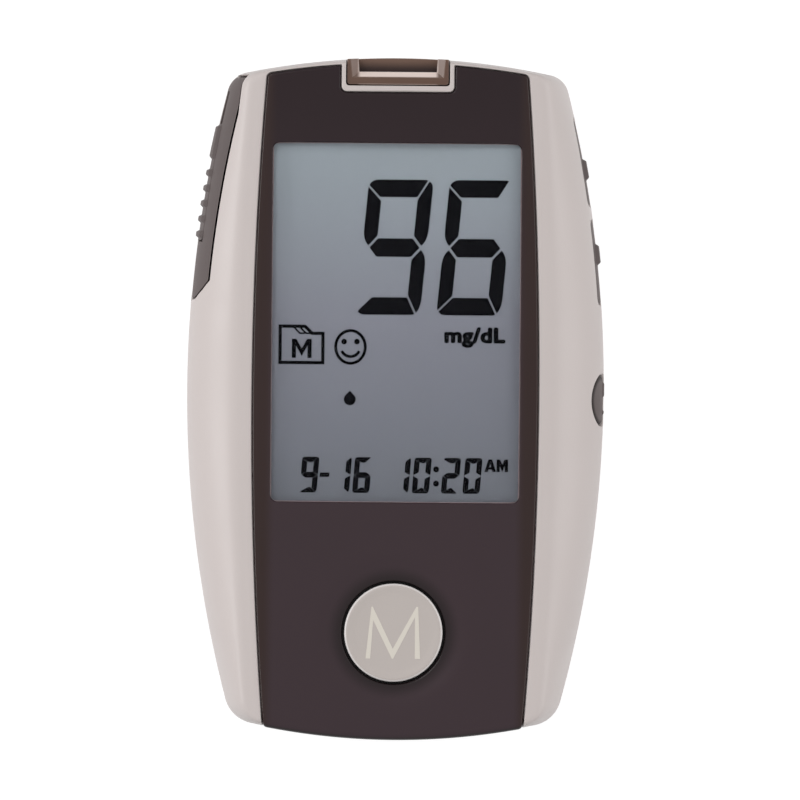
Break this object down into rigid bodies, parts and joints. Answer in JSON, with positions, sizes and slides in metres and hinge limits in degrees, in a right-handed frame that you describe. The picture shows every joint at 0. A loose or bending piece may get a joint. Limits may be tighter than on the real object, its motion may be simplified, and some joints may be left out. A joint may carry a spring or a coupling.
{
  "type": "blood glucose meter",
  "caption": "Hand-held blood glucose meter with a large display, a round main key, side keys, a strip port with slide ejector, and a battery door on its back.",
  "frame": {"origin": "middle of the back, on the surface the meter lies on", "axes": "+Z out of the display, +Y towards the strip port end, +X to the right when the display is read"},
  "size_m": [0.0588, 0.096, 0.024],
  "materials": {
    "white_casing": "warm light grey moulded plastic, fine satin texture",
    "dark_panel": "dark brown-grey glossy panel with a soft sheen",
    "clear_window": "clear polished display window",
    "black_foam": "closed-cell foam",
    "display_grey": "reflective liquid crystal cell, blue-grey",
    "light_guide": "milky white moulded plastic",
    "elastomer": "layered conductive rubber",
    "board_green": "green solder mask",
    "chip_black": "black moulded resin",
    "key_white": "warm grey satin key cap",
    "legend_white": "pale inlaid legend",
    "silicone": "translucent silicone",
    "grey_trim": "dark warm grey satin plastic",
    "port_brown": "brown satin plastic",
    "gold_contact": "gold-plated spring contacts",
    "spring_steel": "nickel-plated spring steel",
    "cell_jacket": "printed metal cell jacket, bare of words",
    "screw_steel": "zinc-plated steel"
  },
  "bodies": {
    "casing": {"front_case": "white_casing", "rear_case": "white_casing", "front_panel": "dark_panel", "display_window": "clear_window", "dust_gasket": "black_foam", "lcd_cell": "display_grey", "backlight_panel": "light_guide", "display_holder": "light_guide", "elastomer_strips": "elastomer", "main_board": "board_green", "board_chips": "chip_black", "buzzer": "chip_black", "main_key_pad": "silicone", "side_switches": "chip_black", "strip_port": "port_brown", "strip_connector": "chip_black", "strip_contacts": "gold_contact", "ejector_track": "grey_trim", "ejector_spring": "spring_steel", "cell_left": "cell_jacket", "cell_right": "cell_jacket", "battery_springs": "spring_steel", "battery_plates": "spring_steel", "case_screws": "screw_steel", "board_screws": "screw_steel"},
    "main_key": {"main_key": "key_white", "key_legend": "legend_white"},
    "up_key": {"up_key": "grey_trim", "up_plunger": "chip_black"},
    "down_key": {"down_key": "grey_trim", "down_plunger": "chip_black"},
    "light_key": {"light_key": "grey_trim", "light_plunger": "chip_black"},
    "slider": {"ejector_slider": "grey_trim"},
    "pusher": {"ejector_pusher": "light_guide"},
    "door": {"battery_door": "white_casing"}
  },
  "joints": [
    {"name": "main_key_press", "type": "slide", "parent": "casing", "child": "main_key", "axis": [0, 0, -1], "range_m": [0, 0.0008], "stiffness_N_per_m": 400, "springref_m": -0.0003, "deforming": ["main_key_pad"]},
    {"name": "up_key_press", "type": "slide", "parent": "casing", "child": "up_key", "axis": [-0.9825, -0.1864, 0], "range_m": [0, 0.0004], "stiffness_N_per_m": 400, "springref_m": -0.0003},
    {"name": "down_key_press", "type": "slide", "parent": "casing", "child": "down_key", "axis": [-0.9942, -0.1077, 0], "range_m": [0, 0.0004], "stiffness_N_per_m": 400, "springref_m": -0.0003},
    {"name": "light_key_press", "type": "slide", "parent": "casing", "child": "light_key", "axis": [-1, 0.0083, 0], "range_m": [0, 0.0004], "stiffness_N_per_m": 400, "springref_m": -0.0003},
    {"name": "ejector_slide", "type": "hinge", "parent": "casing", "child": "slider", "pos_m": [0.1396, 0.0012, 0.012], "axis": [0, 0, -1], "range_deg": [0, 1.5], "stiffness_Nm_per_rad": 1.6, "springref_deg": -0.57},
    {"name": "pusher_slide", "type": "slide", "parent": "casing", "child": "pusher", "axis": [0, 1, 0], "range_m": [0, 0.0042], "deforming": ["ejector_spring"]},
    {"name": "battery_door_hinge", "type": "hinge", "parent": "casing", "child": "door", "pos_m": [0, 0.0109, 0.0016], "axis": [1, 0, 0], "range_deg": [0, 75]}
  ],
  "couplings": [
    {"joint": "pusher_slide", "follows": "ejector_slide", "m_per_rad": 0.1592}
  ]
}
